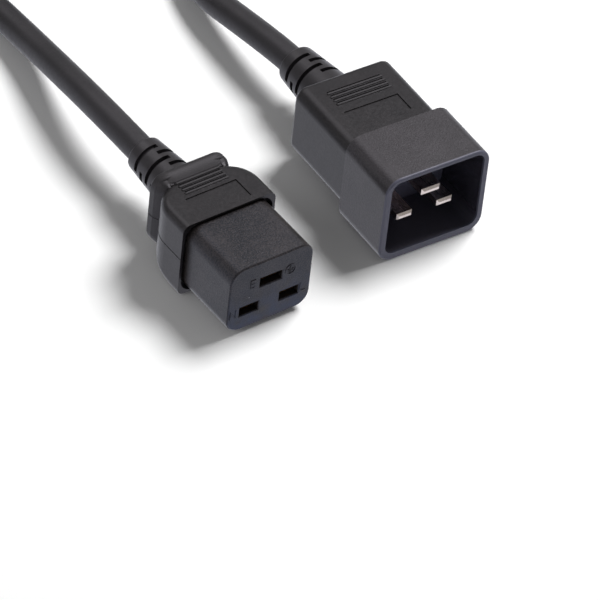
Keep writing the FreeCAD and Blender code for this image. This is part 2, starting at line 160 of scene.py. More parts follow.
# what the plastics share: the spread of their shade, and rare pale nicks a third of a millimetre across
plasticLook = {
    "shadeSpan": 0.3,
    "nicksPerMetre": 130.0,
    "nickEdge": (0.022, 0.035),
    "nickColour": "#8a888a",
}


def mouldedPlastic(name, finish, local=None):
    # one recipe for all the black plastics, told apart by their finish
    material, tree = blankMaterial(name)
    place = addNode(tree, "TexCoord").outputs["Object"]
    cloud = addNode(tree, "TexNoise", {"Vector": place, "Scale": 1000 / finish["cloud"], "Detail": 3.0})
    peel = addNode(tree, "TexNoise", {"Vector": place, "Scale": 1000 / finish["peel"]})
    grain = addNode(tree, "TexNoise", {"Vector": place, "Scale": 1000 / finish["grain"], "Detail": 1.0})
    weighted = addNode(tree, "Math", {0: grain, 1: finish["grainShade"], 2: cloud},
                       operation="MULTIPLY_ADD")
    middle = 0.5 + 0.5 * finish["grainShade"]
    shade = addNode(tree, "MapRange", {"Value": weighted, "From Min": middle - plasticLook["shadeSpan"],
                                       "From Max": middle + plasticLook["shadeSpan"]})
    colour = addNode(tree, "Mix", {"Factor": shade, 6: finish["dark"], 7: finish["light"]},
                     data_type="RGBA").outputs[2]
    if finish["nicks"]:
        cells = addNode(tree, "TexVoronoi", {"Vector": place, "Scale": plasticLook["nicksPerMetre"]})
        nick = addNode(tree, "MapRange", {"Value": cells, "From Min": plasticLook["nickEdge"][0],
                                          "From Max": plasticLook["nickEdge"][1],
                                          "To Min": finish["nicks"], "To Max": 0.0})
        colour = addNode(tree, "Mix", {"Factor": nick, 6: colour, 7: plasticLook["nickColour"]},
                         data_type="RGBA").outputs[2]
    rough = addNode(tree, "MapRange", {"Value": peel, "To Min": finish["roughness"][0],
                                       "To Max": finish["roughness"][1], **noiseSpan})
    if local:
        colour, rough = local(tree, place, colour, rough)
    skin = addNode(tree, "Bump", {"Height": peel, "Distance": finish["peelRise"] * millimetre})
    relief = addNode(tree, "Bump", {"Height": grain, "Distance": finish["grainRise"] * millimetre,
                                    "Normal": skin})
    surface = addNode(tree, "BsdfPrincipled", {"Base Color": colour, "Roughness": rough, "Normal": relief,
                                               "IOR": finish["ior"], "Specular Tint": finish["gloss"],
                                               "Specular IOR Level": finish["specular"]})
    addNode(tree, "OutputMaterial", {"Surface": surface})
    return material


# painted bluish reflection on the mating face, strongest low down
matingReflection = {
    "colour": "#222a42",
    "faceY": -30.2,          # mm, as are the heights between which it fades
    "depth": 0.1,
    "low": 2.0,
    "high": 17.0,
    "patch": 5.0,
    "patchSpan": (0.35, 0.6),
}


# painted reflection: the mating face's colour is mixed towards a bluish tint, in patches, strongest low
# down
def paintedReflectionFace(tree, place, colour, rough):
    apart = addNode(tree, "SeparateXYZ", {"Vector": place})
    front, depth = matingReflection["faceY"] * millimetre, matingReflection["depth"] * millimetre
    onFace = addNode(tree, "MapRange", {"Value": apart.outputs["Y"], "From Min": front + depth,
                                        "From Max": front + 2 * depth, "To Min": 1.0, "To Max": 0.0})
    lower = addNode(tree, "MapRange", {"Value": apart.outputs["Z"],
                                       "From Min": matingReflection["low"] * millimetre,
                                       "From Max": matingReflection["high"] * millimetre,
                                       "To Min": 1.0, "To Max": 0.0})
    patches = addNode(tree, "TexNoise", {"Vector": place, "Scale": 1000 / matingReflection["patch"]})
    patchy = addNode(tree, "MapRange", {"Value": patches, "From Min": matingReflection["patchSpan"][0],
                                        "From Max": matingReflection["patchSpan"][1]})
    both = addNode(tree, "Math", {0: lower, 1: patchy}, operation="MULTIPLY")
    amount = addNode(tree, "Math", {0: onFace, 1: both}, operation="MULTIPLY")
    paintedBlue = addNode(tree, "Mix", {"Factor": amount, 6: colour, 7: matingReflection["colour"]},
                      data_type="RGBA")
    return paintedBlue.outputs[2], rough


# the shroud's tool was polished inside the cavity; the inside is painted a bluish dark, its lower wall and
# back wall are painted lighter as painted light where little light reaches, and the rim is painted pale and
# bluish, a painted reflection
shroudPlaces = {
    "mouth": (56.4, -27.2, 14.5),
    "yaw": -2.8,
    "halfWidth": 15.9,       # mm, between the inner and outer faces of the wall
    "halfHeight": 13.9,
    "squareness": 8.0,       # of the rounded outline between those faces
    "wallSpan": (0.99, 1.01),
    "depths": {"inside": (18.7, 1.02, 1.0), "rim": (0.5, 1.6, 1.0), "floor": (17.5, 1.02, 0.0)},
    "paintedLowSpan": (-8.0, -12.0),      # mm above the middle, over which the painted light on the lower wall sets in
    # painted colours: bluish shade inside, painted light on the lower wall and back wall, painted
    # reflection on the rim
    "inside": ("#2d2c35", 0.25),    # colour and roughness of each region
    "paintedLowWall": ("#464550", 0.4),
    "rim": ("#4d4e5c", 0.52),
    "floor": ("#5e5e70", 0.3),
}


def shroudRegions(tree, place, colour, rough):
    settings = shroudPlaces
    own = addNode(tree, "Mapping", {"Vector": place,
                                    "Location": [value * millimetre for value in settings["mouth"]],
                                    "Rotation": (0.0, 0.0, math.radians(settings["yaw"]))},
                  vector_type="TEXTURE")
    apart = addNode(tree, "SeparateXYZ", {"Vector": own})
    shares = []
    for axis, half in (("X", settings["halfWidth"]), ("Z", settings["halfHeight"])):
        away = addNode(tree, "Math", {0: apart.outputs[axis], 1: 1 / (half * millimetre)},
                       operation="MULTIPLY")
        near = addNode(tree, "Math", {0: away}, operation="ABSOLUTE")
        shares.append(addNode(tree, "Math", {0: near, 1: settings["squareness"]}, operation="POWER"))
    outward = addNode(tree, "Math", {0: shares[0], 1: shares[1]})
    inWall = addNode(tree, "MapRange", {"Value": outward, "From Min": settings["wallSpan"][0],
                                        "From Max": settings["wallSpan"][1], "To Min": 1.0, "To Max": 0.0})
    # each mask starts to change at a depth in mm, ends at a multiple of it, and has a value at the mouth
    masks = {}
    for region, (startDepth, endShare, atMouth) in settings["depths"].items():
        depth = startDepth * millimetre
        masks[region] = addNode(tree, "MapRange", {"Value": apart.outputs["Y"], "From Min": depth,
                                                   "From Max": endShare * depth, "To Min": atMouth,
                                                   "To Max": 1.0 - atMouth})
    inside = addNode(tree, "Math", {0: inWall, 1: masks["inside"]}, operation="MULTIPLY")
    floor = addNode(tree, "Math", {0: masks["floor"], 1: inside}, operation="MULTIPLY")
    low = addNode(tree, "MapRange", {"Value": apart.outputs["Z"],
                                     "From Min": settings["paintedLowSpan"][0] * millimetre,
                                     "From Max": settings["paintedLowSpan"][1] * millimetre})
    # painted light on the lower wall of the cavity
    paintedLowWall = addNode(tree, "Math", {0: low, 1: inside}, operation="MULTIPLY")
    for mask, (shade, smooth) in ((inside, settings["inside"]), (paintedLowWall, settings["paintedLowWall"]),
                                  (masks["rim"], settings["rim"]), (floor, settings["floor"])):
        colour = addNode(tree, "Mix", {"Factor": mask, 6: colour, 7: shade}, data_type="RGBA").outputs[2]
        rough = addNode(tree, "Mix", {"Factor": mask, "A": rough, "B": smooth})
    return colour, rough


# ribs, crest and grip have a duller texture than the body, and the strain relief is painted paler, painted
# light in place of light it lacks
ridgeTexture = {
    "roughness": 0.62,
    "gripShare": 0.45,       # how far the grip and ramp go towards that roughness
    "reliefPaintedLight": "#2b292b",
    "spans": {"top": ("Z", 0.02, 0.1), "gripFrom": ("Y", 0.0, 0.2), "reliefFrom": ("Y", 0.0, 2.0)},
}
connectorZones = {"top": 24.6, "gripFrom": 6.4, "reliefFrom": 11.0}    # mm, body's top in Z, the rest in Y
plugZones = {"top": 25.3, "gripFrom": 21.3, "reliefFrom": 21.3}


def dullRidges(zones):
    def local(tree, place, colour, rough):
        apart = addNode(tree, "SeparateXYZ", {"Vector": place})
        # each zone's texture sets in over a short span past its start, in mm along one axis
        masks = []
        for zone, (axis, near, far) in ridgeTexture["spans"].items():
            masks.append(addNode(tree, "MapRange", {"Value": apart.outputs[axis],
                                                    "From Min": (zones[zone] + near) * millimetre,
                                                    "From Max": (zones[zone] + far) * millimetre}))
        proud, grip, behind = masks
        # painted light: the strain relief's colour is mixed paler
        paler = addNode(tree, "Mix", {"Factor": behind, 6: colour, 7: ridgeTexture["reliefPaintedLight"]},
                        data_type="RGBA")
        ahead = addNode(tree, "Math", {0: grip, 1: behind}, operation="SUBTRACT")
        partly = addNode(tree, "Math", {0: ahead, 1: ridgeTexture["gripShare"]}, operation="MULTIPLY")
        dull = addNode(tree, "Math", {0: proud, 1: partly}, operation="MAXIMUM")
        rougher = addNode(tree, "Mix", {"Factor": dull, "A": rough, "B": ridgeTexture["roughness"]})
        return paler.outputs[2], rougher
    return local


# stamped metal: bright nickel plate on the pins, brass strip as rolled in the contacts
nickelFinish = {
    "pale": "#ebdfd7",
    "dull": "#dbcec6",
    "lines": 0.25,           # mm between drawing lines, and their height
    "linesRise": 0.0001,
    "roughness": (0.27, 0.29),
}
brassFinish = {
    "pale": "#d2b26f",
    "dull": "#a98a4c",
    "lines": 0.2,
    "linesRise": 0.002,
    "roughness": (0.28, 0.42),
}
# what both share: lines drawn out along the blade, and patches of tarnish, in mm
stampedLook = {"drawn": 0.05, "tarnish": 2.5, "tarnishSpan": (0.35, 0.65)}


def stampedMetal(name, finish):
    material, tree = blankMaterial(name)
    place = addNode(tree, "TexCoord").outputs["Object"]
    along = addNode(tree, "Mapping", {"Vector": place, "Scale": (1.0, stampedLook["drawn"], 1.0)})
    lines = addNode(tree, "TexNoise", {"Vector": along, "Scale": 1000 / finish["lines"]})
    tarnish = addNode(tree, "TexNoise", {"Vector": place, "Scale": 1000 / stampedLook["tarnish"],
                                         "Detail": 4.0})
    shade = addNode(tree, "MapRange", {"Value": tarnish, "From Min": stampedLook["tarnishSpan"][0],
                                       "From Max": stampedLook["tarnishSpan"][1]})
    colour = addNode(tree, "Mix", {"Factor": shade, 6: finish["dull"], 7: finish["pale"]},
                     data_type="RGBA").outputs[2]
    rough = addNode(tree, "MapRange", {"Value": lines, "To Min": finish["roughness"][0],
                                       "To Max": finish["roughness"][1], **noiseSpan})
    relief = addNode(tree, "Bump", {"Height": lines, "Distance": finish["linesRise"] * millimetre})
    surface = addNode(tree, "BsdfPrincipled", {"Base Color": colour, "Roughness": rough, "Metallic": 1.0,
                                               "Normal": relief})
    addNode(tree, "OutputMaterial", {"Surface": surface})
    return material


# insulated cores and bare copper inside the mouldings
coreFinish = {
    "line": ("#5a3a26", "#6b4630"),
    "neutral": ("#2a5ea8", "#3a70ba"),
    "earth": ("#3f8a3a", "#d8c93a"),
    "stripes": 110.0,        # stripes about 1.4 mm wide, as a wave's scale, and how sharply they part
    "stripeSpan": (0.45, 0.55),
    "mottle": 667.0,         # mottling about 1.5 mm and skin texture about 0.6 mm across, as noise scales
    "skin": 1667.0,
    "skinRise": 0.006,
    "roughness": 0.4,
    "ior": 1.53,
}
copperFinish = {
    "pale": "#d98a5c",
    "dull": "#b06a40",
    "strand": 0.26,          # mm across one strand, and how far it stands out
    "strandRise": 0.08,
    "lay": 55.0,             # degrees
    "roughness": 0.3,
}


def insulationPvc(way):
    material, tree = blankMaterial("insulationPvc_" + way)
    place = addNode(tree, "TexCoord").outputs["Object"]
    if way == "earth":
        # green and yellow stripes run along the core
        pattern = addNode(tree, "TexWave", {"Vector": place, "Scale": coreFinish["stripes"]},
                          bands_direction="X").outputs["Fac"]
        low, high = coreFinish["stripeSpan"]
        span = {"From Min": low, "From Max": high}
    else:
        pattern = addNode(tree, "TexNoise", {"Vector": place, "Scale": coreFinish["mottle"], "Detail": 3.0})
        span = noiseSpan
    shade = addNode(tree, "MapRange", {"Value": pattern, **span})
    colour = addNode(tree, "Mix", {"Factor": shade, 6: coreFinish[way][0], 7: coreFinish[way][1]},
                     data_type="RGBA").outputs[2]
    skin = addNode(tree, "TexNoise", {"Vector": place, "Scale": coreFinish["skin"]})
    relief = addNode(tree, "Bump", {"Height": skin, "Distance": coreFinish["skinRise"] * millimetre})
    surface = addNode(tree, "BsdfPrincipled", {"Base Color": colour, "Roughness": coreFinish["roughness"],
                                               "IOR": coreFinish["ior"], "Normal": relief})
    addNode(tree, "OutputMaterial", {"Surface": surface})
    return material


def strandedCopper(finish):
    material, tree = blankMaterial("strandedCopper")
    place = addNode(tree, "TexCoord").outputs["Object"]
    turned = addNode(tree, "Mapping", {"Vector": place,
                                       "Rotation": (0.0, 0.0, math.radians(finish["lay"]))})
    twist = addNode(tree, "TexWave", {"Vector": turned, "Scale": halfWave / finish["strand"]},
                    bands_direction="X").outputs["Fac"]
    colour = addNode(tree, "Mix", {"Factor": twist, 6: finish["dull"], 7: finish["pale"]},
                     data_type="RGBA").outputs[2]
    relief = addNode(tree, "Bump", {"Height": twist, "Distance": finish["strandRise"] * millimetre})
    surface = addNode(tree, "BsdfPrincipled", {"Base Color": colour, "Roughness": finish["roughness"],
                                               "Metallic": 1.0, "Normal": relief})
    addNode(tree, "OutputMaterial", {"Surface": surface})
    return material


# hook-and-loop strap: a nap of fine nylon loops on a woven band
strapFinish = {
    "dark": "#161617",
    "light": "#2c2c2e",
    "loop": 0.45,            # mm across a loop, and its height
    "loopRise": 0.25,
    "loopSpan": (0.1, 0.6),
    "weave": 0.8,            # mm across a rib of the band, and its height
    "weaveRise": 0.05,
    "weaveBend": 1.5,
    "roughness": 0.85,
    "sheen": (0.35, 0.5),    # its weight and roughness
}


def hookAndLoop(finish):
    material, tree = blankMaterial("hookAndLoopNylon")
    place = addNode(tree, "TexCoord").outputs["Object"]
    loops = addNode(tree, "TexVoronoi", {"Vector": place, "Scale": 1000 / finish["loop"]})
    weave = addNode(tree, "TexWave", {"Vector": place, "Scale": halfWave / finish["weave"],
                                      "Distortion": finish["weaveBend"]},
                    bands_direction="X").outputs["Fac"]
    shade = addNode(tree, "MapRange", {"Value": loops, "From Min": finish["loopSpan"][0],
                                       "From Max": finish["loopSpan"][1]})
    colour = addNode(tree, "Mix", {"Factor": shade, 6: finish["light"], 7: finish["dark"]},
                     data_type="RGBA").outputs[2]
    band = addNode(tree, "Bump", {"Height": weave, "Distance": finish["weaveRise"] * millimetre})
    nap = addNode(tree, "Bump", {"Height": loops, "Distance": finish["loopRise"] * millimetre,
                                 "Normal": band})
    surface = addNode(tree, "BsdfPrincipled", {"Base Color": colour, "Roughness": finish["roughness"],
                                               "Sheen Weight": finish["sheen"][0],
                                               "Sheen Roughness": finish["sheen"][1], "Normal": nap})
    addNode(tree, "OutputMaterial", {"Surface": surface})
    return material


mouldedPvc = mouldedPlastic("mouldedPvc", mouldedPvcFinish, dullRidges(connectorZones))
plugPvc = mouldedPlastic("mouldedPvc_plug", mouldedPvcFinish, dullRidges(plugZones))
# the insert's nylon carries a painted bluish reflection on its mating face
texturedNylon = mouldedPlastic("texturedNylon", texturedNylonFinish, paintedReflectionFace)
texturedPbt = mouldedPlastic("texturedPbt", texturedPbtFinish, shroudRegions)
extrudedPvc = mouldedPlastic("extrudedPvc", extrudedPvcFinish)
nickelPlate = stampedMetal("nickelPlatedBrass", nickelFinish)
rolledBrass = stampedMetal("rolledBrass", brassFinish)
copper = strandedCopper(copperFinish)
strapNylon = hookAndLoop(strapFinish)
print("finishes made")

dress(["connector_overmould"], mouldedPvc)
dress(["plug_overmould"], plugPvc)
dress(["connector_insert", "insert_cap"], texturedNylon)
dress(["plug_shroud"], texturedPbt)
dress(["plug_pin_" + way for way in ways], nickelPlate)
dress(["contact_" + way for way in ways], rolledBrass)
dress([end + way for end in ("strands_", "plug_strands_") for way in ways], copper)
for way in ways:
    dress(["core_" + way, "plug_core_" + way], insulationPvc(way))


def bead(name, lines, width, closed=()):
    # round beads of this width along the lines, in metres, for marks and witness lines
    data = bpy.data.curves.new(name, "CURVE")
    data.dimensions = "3D"
    for index, line in enumerate(lines):
        spline = data.splines.new("POLY")
        spline.points.add(len(line) - 1)
        for point, place in zip(spline.points, line):
            point.co = (*place, 1.0)
        spline.use_cyclic_u = index in closed
    data.bevel_depth = width / 2
    data.bevel_resolution = 2
    data.use_fill_caps = True
    return data


def skinned(name, rings, mirrored=False):
    # a closed skin over rings of points in millimetres, and the same again on the other side of X = 0
    verts, faces = [], []
    count, last = len(rings[0]), (len(rings) - 1) * len(rings[0])
    for side in (1, -1) if mirrored else (1,):
        start = len(verts)
        verts += [(side * x * millimetre, y * millimetre, z * millimetre)
                  for ring in rings for x, y, z in ring]
        for first in range(start, start + last, count):
            for j in range(count):
                a, b = first + j, first + (j + 1) % count
                faces.append((a, b, b + count, a + count)[::side])
        for cap in (range(start + count - 1, start - 1, -1), range(start + last, start + last + count)):
            faces.append(tuple(cap)[::side])
    mesh = bpy.data.meshes.new(name)
    mesh.from_pydata(verts, [], faces)
    mesh.validate()
    mesh.shade_smooth()
    return mesh


# raised polarity marks beside the slots, millimetres across the face and above the table
faceMarks = {
    "faceY": -30.2,
    "width": 0.4,
    "lines": [[(-5.15, 17.75), (-6.7, 17.8), (-6.7, 15.2), (-5.15, 15.1)], [(-6.7, 16.5), (-5.35, 16.45)],
              [(10.15, 9.6), (10.15, 6.9), (11.85, 6.8)],
              [(-12.65, 6.4), (-12.65, 9.1), (-10.9, 6.4), (-10.9, 9.1)]],
    "earthCentre": (6.2, 16.5),
    "earthRadius": 1.6,
    "earthRingPoints": 24,
    "earthStem": 1.05,
    "earthBars": [(0.95, -0.05), (0.62, -0.5), (0.3, -0.95)],    # half length and height of each bar
}


def makeFaceMarks(settings):
    lines = [list(line) for line in settings["lines"]]
    x0, z0 = settings["earthCentre"]
    radius, ringPoints = settings["earthRadius"], settings["earthRingPoints"]
    turns = [math.radians(360 / ringPoints * i) for i in range(ringPoints)]
    lines.append([(x0 + radius * math.cos(turn), z0 + radius * math.sin(turn)) for turn in turns])
    lines.append([(x0, z0 + settings["earthStem"]), (x0, z0 + settings["earthBars"][0][1])])
    for half, height in settings["earthBars"]:
        lines.append([(x0 - half, z0 + height), (x0 + half, z0 + height)])
    y = settings["faceY"]
    places = [[(x * millimetre, y * millimetre, z * millimetre) for x, z in line] for line in lines]
    return bead("polarity_marks", places, settings["width"] * millimetre, closed=(len(settings["lines"]),))


addPiece("polarity_marks", makeFaceMarks(faceMarks), texturedNylon)

# witness line where the two halves of the overmould tool met
partingLine = {
    "height": 12.95,
    "width": 0.24,
    "front": [(15.1, -9.65), (15.1, -5.5)],    # X and Y in millimetres, round one side of the body
    "shoulderCentre": (5.5, -2.1),
    "shoulderRadius": 9.6,
    "shoulderAngles": (0, 58, 7),              # degrees, from, up to and in steps of
    "behind": [(10.7, 5.95), (11.36, 7.0), (11.86, 8.1), (12.04, 8.8), (12.01, 10.2), (11.3, 11.0),
               (7.1, 11.0)],
}


def makePartingLine(settings):
    x0, y0 = settings["shoulderCentre"]
    radius = settings["shoulderRadius"]
    arc = [(x0 + radius * math.cos(math.radians(angle)), y0 + radius * math.sin(math.radians(angle)))
           for angle in range(*settings["shoulderAngles"])]
    outline = settings["front"] + arc + settings["behind"]
    z = settings["height"]
    places = [[(side * x * millimetre, y * millimetre, z * millimetre) for x, y in outline]
              for side in (1, -1)]
    return bead("parting_line", places, settings["width"] * millimetre)


addPiece("parting_line", makePartingLine(partingLine), mouldedPvc)
print("marks and parting line made")

# soft rounded crest of the finger grip, which flows down into the body in front of it
crest = {
    "reach": 10.6,           # mm from the middle to where it dies away
    "even": 6.5,             # and to where it starts to
    "foot": (6.35, 7.75),    # Y of its front edge, at the middle and at the ends
    "ramp": (6.2, 24.3, 9.3, 0.625),    # the ramp under it: Y, Z and half width at its foot, and its slope
    "bodyTop": 24.6,
    "bodyFlat": 7.75,        # half width of the flat part of the top, and the radius beside it
    "bodyRound": 2.4,
    "gripTop": 25.8,
    "gripFlat": 7.8,
    "gripRound": 4.2,
    "proud": 0.22,           # over the top of the grip
    "sunk": 0.04,            # under the top of the body, at its front edge
    "endDrop": 1.6,          # under the top of the grip, at the ends
    "clear": 0.05,           # over the ramp
    "peak": 9.6,             # Y where it is highest
    "roll": (9.3, 1.4, 0.45),    # Y where it turns down, and how far back and down from there it ends
    "underside": [(0.7, 11.03), (1.3, 11.03), (1.8, 9.4)],    # below the top of the grip, and Y
    "heel": (0.3, 0.4),      # behind and below the front edge
    "stations": 36,          # across, and points along the upper side at each of them
    "points": 18,
}


def roundedTop(x, top, flat, radius):
    # height of a rounded bar's top at x from its middle
    over = min(max(abs(x) - flat, 0.0), radius)
    return top - radius + math.sqrt(radius ** 2 - over ** 2)


def makeCrest(settings):
    footY, endY = settings["foot"]
    rampY, rampZ, rampHalf, slope = settings["ramp"]
    rollY, rollLong, rollDrop = settings["roll"]
    heelY, heelZ = settings["heel"]
    belly = settings["underside"][-1][0]
    rings = []
    for i in range(settings["stations"] + 1):
        x = settings["reach"] * (2 * i / settings["stations"] - 1)
        fade = max((abs(x) - settings["even"]) / (settings["reach"] - settings["even"]), 0.0)
        fade = fade * fade * (3 - 2 * fade)
        top = roundedTop(x, settings["gripTop"], settings["gripFlat"], settings["gripRound"])
        low = roundedTop(x, settings["bodyTop"], settings["bodyFlat"], settings["bodyRound"])
        low -= settings["sunk"]
        low += (top - settings["endDrop"] - low) * fade
        high = top + settings["proud"] * (1 - fade)
        y0 = footY + (endY - footY) * fade
        section = []
        for j in range(settings["points"] + 1):
            # rises straight along the ramp, then turns over the crest in one soft round
            y = y0 + (rollY + rollLong - y0) * j / settings["points"]
            rise = low + (high - low) * math.sin(min((y - y0) / (settings["peak"] - y0), 1.0) * math.pi / 2)
            fall = rollDrop * max((y - rollY) / rollLong, 0.0) ** 2
            under = min(rampZ + slope * (y - rampY), rampZ + rampHalf - abs(x), top)
            section.append((y, max(rise, under + settings["clear"]) - fall))
        section += [(y, top - drop) for drop, y in settings["underside"]]
        section.append((y0 + heelY, min(low, top - belly) - heelZ))
        rings.append([(x, y, z) for y, z in section])
    return skinned("grip_crest", rings)


addPiece("grip_crest", makeCrest(crest), mouldedPvc)

# webs that slope from the outer edges of the grip forward into the shoulders, in millimetres
web = {
    "gripFlat": 7.8,         # half width of the flat of the grip's top, and its rounded corners
    "gripRound": 4.2,
    "gripHigh": 21.6,
    "gripLow": 7.0,
    "bodyFlat": 8.2,         # the same of the body's outline, drawn a little inside it
    "bodyRound": 2.4,
    "bodyHigh": 22.1,
    "section": [(0.04, 9.3), (-0.02, 8.8), (0.11, 8.1), (0.46, 7.0), (0.97, 5.86), (1.0, 5.8), (1.3, 6.6),
                (1.0, 8.8)],     # share of the way in from the grip's outline to the body's, and Y
    "sunk": (0.3, 40),       # deeper share where it starts under the crest, and over how many degrees
    "angles": (88, -46, -8),     # degrees, from, to and in steps of, round both corners
    "legSteps": 5,           # down the straight edge between them
}


def makeWebs(settings):
    gripFlat, gripRound = settings["gripFlat"], settings["gripRound"]
    bodyFlat, bodyRound = settings["bodyFlat"], settings["bodyRound"]
    high, low, inner = settings["gripHigh"], settings["gripLow"], bodyFlat + bodyRound
    deepest, sunkOver = settings["sunk"]
    startAngle, endAngle, turn = settings["angles"]
    lines = []
    for angle in range(startAngle, -1, turn):
        across, rise = math.cos(math.radians(angle)), math.sin(math.radians(angle))
        share = min((startAngle - angle) / sunkOver, 1.0)
        sunk = deepest * (1 - share * share * (3 - 2 * share))
        lines.append((gripFlat + gripRound * across, high + gripRound * rise,
                      bodyFlat + bodyRound * across, settings["bodyHigh"] + bodyRound * rise, sunk))
    for step in range(1, settings["legSteps"] + 1):
        z = high + (low - high) * step / settings["legSteps"]
        lines.append((gripFlat + gripRound, z, inner, z, 0.0))
    for angle in range(turn, endAngle - 1, turn):
        across, rise = math.cos(math.radians(angle)), math.sin(math.radians(angle))
        z = low + gripRound * rise
        lines.append((gripFlat + gripRound * across, z, inner, z, 0.0))
    rings = [[(x0 + (x1 - x0) * (share + sunk), y, z0 + (z1 - z0) * (share + sunk))
              for share, y in settings["section"]] for x0, z0, x1, z1, sunk in lines]
    return skinned("grip_webs", rings, mirrored=True)


addPiece("grip_webs", makeWebs(web), mouldedPvc)
print("grip crest and webs made")

# one length of cord out of the connector, round the coil and into the plug, in metres
cord = {
    "diameter": 0.0082,
    "length": 1.8,
    "exit": (0.0, 0.0302, 0.0141),
    "fromConnector": [(0.0, 0.0095, 0.0141), (0.0, 0.0302, 0.0141), (0.0, 0.056, 0.0141),
                      (0.0058, 0.100, 0.0041), (0.0045, 0.125, 0.0041), (-0.020, 0.153, 0.0041)],
    "toPlug": [(0.088, 0.140, 0.005), (0.0590, 0.097, 0.0041), (0.0585, 0.059, 0.0113),
               (0.0592, 0.04193, 0.01266), (0.05873, 0.0195, 0.01325)],
    "coilCentre": (0.034, 0.180),
    "outerRadius": 0.054,
    "pitch": 0.0082,
    "layerTurns": 2.75,
    "lowZ": 0.0055,
    "pointsPerTurn": 16,
    "stepUp": 4,             # points over which it climbs from the lower layer to the upper one
}


def coilPoints(settings):
    # in along the lower layer and out again along the upper one, clockwise from above
    steps = int(settings["layerTurns"] * settings["pointsPerTurn"])
    x0, y0 = settings["coilCentre"]
    points = []
    for i in range(2 * steps + 1):
        turns = i / settings["pointsPerTurn"]
        inward = min(turns, 2 * settings["layerTurns"] - turns)
        radius = settings["outerRadius"] - settings["pitch"] * inward
        rise = min(max((i - steps) / settings["stepUp"] + 0.5, 0.0), 1.0)
        angle = math.pi - 2 * math.pi * turns
        points.append((x0 + radius * math.cos(angle), y0 + radius * math.sin(angle),
                       settings["lowZ"] + settings["pitch"] * rise))
    return points


def makeCord(settings):
    line = bpy.data.curves.new("power_cord", "CURVE")
    line.dimensions = "3D"
    spline = line.splines.new("NURBS")
    points = settings["fromConnector"] + coilPoints(settings) + settings["toPlug"]
    spline.points.add(len(points) - 1)
    for point, place in zip(spline.points, points):
        point.co = (*place, 1.0)
    spline.order_u = 3
    spline.use_endpoint_u = True
    line.resolution_u = 12
    line.bevel_depth = settings["diameter"] / 2
    line.bevel_resolution = 8
    line.use_fill_caps = True
    return line


# strap round the coil: one turn and an overlap, its free end a little proud
strap = {
    "x": 34.0,
    "width": 13.0,
    "thickness": 1.1,
    "bevel": 0.4,                # mm, thinned towards each edge
    "inner": (206.6, 238.9),     # mm in Y, the two sides of the coil that it goes round
    "low": 0.85,
    "high": 18.6,
    "corner": 4.5,
    "start": 8.0,                # mm along the top where the strap starts
    "overlap": 24.0,
    "lap": (1.25, 9.0),          # thicknesses that it lies over its start, and mm in which it gets there
    "lift": (1.2, 7.0),          # mm that the free end stands up, and over what length
    "taper": (0.12, 2.5),        # share by which its tip narrows, and over what length
    "step": 1.5,
}


def loopPlace(distance, settings, proud):
    # place and outward direction at a distance along a rounded rectangle in the YZ plane
    (y0, y1), z0, z1, r = settings["inner"], settings["low"], settings["high"], settings["corner"]
    runs = [((y0 + r, z1), (1, 0), y1 - y0 - 2 * r), ((y1, z1 - r), (0, -1), z1 - z0 - 2 * r),
            ((y1 - r, z0), (-1, 0), y1 - y0 - 2 * r), ((y0, z0 + r), (0, 1), z1 - z0 - 2 * r)]
    bend = math.pi * r / 2
    distance %= sum(run[2] for run in runs) + 4 * bend
    for (y, z), (dy, dz), length in runs:
        outward = (-dz, dy)
        if distance <= length:
            return (y + dy * distance + outward[0] * proud, z + dz * distance + outward[1] * proud), outward
        distance -= length
        if distance <= bend:
            angle = distance / r
            centre = (y + dy * length - outward[0] * r, z + dz * length - outward[1] * r)
            turned = (outward[0] * math.cos(angle) + dy * math.sin(angle),
                      outward[1] * math.cos(angle) + dz * math.sin(angle))
            return (centre[0] + turned[0] * (r + proud), centre[1] + turned[1] * (r + proud)), turned
        distance -= bend
    return loopPlace(0.0, settings, proud)


def makeStrap(settings):
    (y0, y1), r = settings["inner"], settings["corner"]
    once = 2 * (y1 - y0 + settings["high"] - settings["low"]) - 8 * r + 2 * math.pi * r
    total = once + settings["overlap"]
    half, thick, edge = settings["width"] / 2, settings["thickness"] / 2, settings["bevel"]
    section = [(-half, 0.0), (-half + edge, -thick), (half - edge, -thick), (half, 0.0),
               (half - edge, thick), (half / 2, thick), (0.0, thick), (-half / 2, thick),
               (-half + edge, thick)]
    lapped, lapLong = settings["lap"]
    lifted, liftLong = settings["lift"]
    narrowed, taperLong = settings["taper"]
    steps, rings = int(total / settings["step"]), []
    for i in range(steps + 1):
        distance = total * i / steps
        over = min(max((distance - once + lapLong) / lapLong, 0.0), 1.0)
        lift = lifted * max((distance - total + liftLong) / liftLong, 0.0) ** 2
        proud = lapped * thick * 2 * over + lift
        (y, z), (ny, nz) = loopPlace(settings["start"] + distance, settings, proud)
        narrow = 1.0 - narrowed * max((distance - total + taperLong) / taperLong, 0.0) ** 2
        rings.append([(settings["x"] + across * narrow, y + ny * depth, z + nz * depth)
                      for across, depth in section])
    return skinned("coil_strap", rings)


coilStrap = addPiece("coil_strap", makeStrap(strap), strapNylon)
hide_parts("coil_tie")
powerCord = addPiece("power_cord", makeCord(cord), extrudedPvc)
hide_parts("cord_connector_run", "cord_coil", "cord_plug_run")
print("cord and strap laid")

